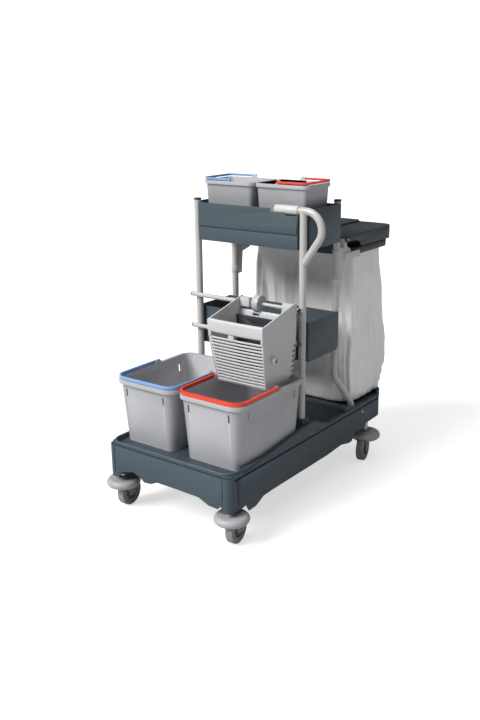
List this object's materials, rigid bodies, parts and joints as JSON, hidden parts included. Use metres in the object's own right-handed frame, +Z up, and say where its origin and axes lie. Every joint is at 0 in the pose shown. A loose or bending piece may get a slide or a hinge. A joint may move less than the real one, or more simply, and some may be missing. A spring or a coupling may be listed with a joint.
{
  "type": "housekeeping cart",
  "caption": "Castored cleaning cart with mop buckets, a mop press on rails, two trays, hand pails, a push handle and a lidded waste bag on a ring.",
  "frame": {"origin": "on the floor, under the middle of the whole cart's bounding box", "axes": "+X to the right across the cart, -Y towards the mop buckets, +Y towards the waste bag, +Z up"},
  "size_m": [0.6073, 1.103, 1.119],
  "materials": {
    "slate": "moulded slate grey, fine texture",
    "black_plastic": "moulded near-black grey",
    "press_plate": "moulded dark grey",
    "tube": "light warm grey, smooth",
    "light_plastic": "moulded light grey",
    "grey_plastic": "moulded mid grey",
    "blue": "moulded blue",
    "red": "moulded red",
    "bag": "white bag film",
    "steel": "zinc plated",
    "fork": "moulded brown grey",
    "bumper": "moulded light grey",
    "wheel_rubber": "brown grey, non-marking",
    "wheel_hub": "moulded brown grey"
  },
  "bodies": {
    "frame": {"chassis": "slate", "deck_tray": "slate", "post_front_left": "tube", "post_front_right": "tube", "post_rear_left": "tube", "post_rear_right": "tube", "post_caps": "black_plastic", "rail_upper": "tube", "rail_lower": "tube", "rail_end_caps": "black_plastic", "rail_saddles": "tube", "top_tray": "slate", "mid_tray": "slate", "tray_clips": "black_plastic", "push_handle": "tube", "handle_sleeve": "light_plastic", "bag_bracket_left": "light_plastic", "bag_bracket_right": "light_plastic", "bag_ring": "black_plastic", "waste_bag": "bag", "lid_hinge_pins": "steel", "caster_stems": "steel", "deck_screws": "steel", "bucket_right": "grey_plastic"},
    "bucket_left": {"bucket_left": "grey_plastic"},
    "bail_left": {"bail_left": "blue"},
    "bail_right": {"bail_right": "red"},
    "pail_left": {"pail_left": "grey_plastic"},
    "pail_right": {"pail_right": "grey_plastic"},
    "pail_bail_left": {"pail_bail_left": "blue"},
    "pail_bail_right": {"pail_bail_right": "red"},
    "press": {"press_body": "grey_plastic", "press_hooks": "grey_plastic", "press_shaft": "tube", "press_knobs": "light_plastic"},
    "press_plate": {"press_plate": "press_plate"},
    "press_lever": {"press_lever": "grey_plastic"},
    "lid": {"lid": "black_plastic"},
    "caster_fl": {"fork_fl": "fork", "bumper_fl": "bumper", "axle_fl": "steel"},
    "wheel_fl": {"tyre_fl": "wheel_rubber", "hub_fl": "wheel_hub"},
    "caster_fr": {"fork_fr": "fork", "bumper_fr": "bumper", "axle_fr": "steel"},
    "wheel_fr": {"tyre_fr": "wheel_rubber", "hub_fr": "wheel_hub"},
    "caster_rl": {"fork_rl": "fork", "bumper_rl": "bumper", "axle_rl": "steel"},
    "wheel_rl": {"tyre_rl": "wheel_rubber", "hub_rl": "wheel_hub"},
    "caster_rr": {"fork_rr": "fork", "bumper_rr": "bumper", "axle_rr": "steel"},
    "wheel_rr": {"tyre_rr": "wheel_rubber", "hub_rr": "wheel_hub"}
  },
  "joints": [
    {"name": "swivel_fl", "type": "hinge", "parent": "frame", "child": "caster_fl", "pos_m": [-0.24, -0.492, 0.118], "axis": [0, 0, 1], "continuous": true},
    {"name": "roll_fl", "type": "hinge", "parent": "caster_fl", "child": "wheel_fl", "pos_m": [-0.24181, -0.46606, 0.05], "axis": [-0.9976, -0.0698, 0], "continuous": true},
    {"name": "swivel_fr", "type": "hinge", "parent": "frame", "child": "caster_fr", "pos_m": [0.24, -0.492, 0.118], "axis": [0, 0, 1], "continuous": true},
    {"name": "roll_fr", "type": "hinge", "parent": "caster_fr", "child": "wheel_fr", "pos_m": [0.23683, -0.46619, 0.05], "axis": [-0.9925, -0.1219, 0], "continuous": true},
    {"name": "swivel_rl", "type": "hinge", "parent": "frame", "child": "caster_rl", "pos_m": [-0.24, 0.38, 0.118], "axis": [0, 0, 1], "continuous": true},
    {"name": "roll_rl", "type": "hinge", "parent": "caster_rl", "child": "wheel_rl", "pos_m": [-0.23909, 0.35402, 0.05], "axis": [0.9994, 0.0349, 0], "continuous": true},
    {"name": "swivel_rr", "type": "hinge", "parent": "frame", "child": "caster_rr", "pos_m": [0.24, 0.38, 0.118], "axis": [0, 0, 1], "continuous": true},
    {"name": "roll_rr", "type": "hinge", "parent": "caster_rr", "child": "wheel_rr", "pos_m": [0.24541, 0.35457, 0.05], "axis": [0.9781, 0.2079, 0], "continuous": true},
    {"name": "bucket_left_lift", "type": "slide", "parent": "frame", "child": "bucket_left", "axis": [0, 0, 1], "range_m": [0, 0.25]},
    {"name": "bail_left_swing", "type": "hinge", "parent": "bucket_left", "child": "bail_left", "pos_m": [-0.137, -0.27, 0.479], "axis": [-1, 0, 0], "range_deg": [0, 135]},
    {"name": "bail_right_swing", "type": "hinge", "parent": "frame", "child": "bail_right", "pos_m": [0.137, -0.27, 0.479], "axis": [-1, 0, 0], "range_deg": [0, 68]},
    {"name": "pail_left_lift", "type": "slide", "parent": "frame", "child": "pail_left", "axis": [0, 0, 1], "range_m": [0, 0.22]},
    {"name": "pail_right_lift", "type": "slide", "parent": "frame", "child": "pail_right", "axis": [0, 0, 1], "range_m": [0, 0.22]},
    {"name": "pail_bail_left_swing", "type": "hinge", "parent": "pail_left", "child": "pail_bail_left", "pos_m": [-0.104, 0.043, 1.112], "axis": [0, 1, 0], "range_deg": [0, 100]},
    {"name": "pail_bail_right_swing", "type": "hinge", "parent": "pail_right", "child": "pail_bail_right", "pos_m": [0.104, 0.043, 1.112], "axis": [0, -1, 0], "range_deg": [0, 100]},
    {"name": "press_lift", "type": "slide", "parent": "frame", "child": "press", "axis": [0, 0, 1], "range_m": [0, 0.08]},
    {"name": "press_lever_turn", "type": "hinge", "parent": "press", "child": "press_lever", "pos_m": [0.095, -0.137, 0.714], "axis": [1, 0, 0], "range_deg": [0, 60]},
    {"name": "press_plate_slide", "type": "slide", "parent": "press", "child": "press_plate", "axis": [0, -1, 0], "range_m": [0, 0.05]},
    {"name": "lid_open", "type": "hinge", "parent": "frame", "child": "lid", "pos_m": [0, 0.198, 0.899], "axis": [1, 0, 0], "range_deg": [0, 90]}
  ],
  "couplings": [
    {"joint": "press_plate_slide", "follows": "press_lever_turn", "m_per_rad": 0.0477}
  ]
}
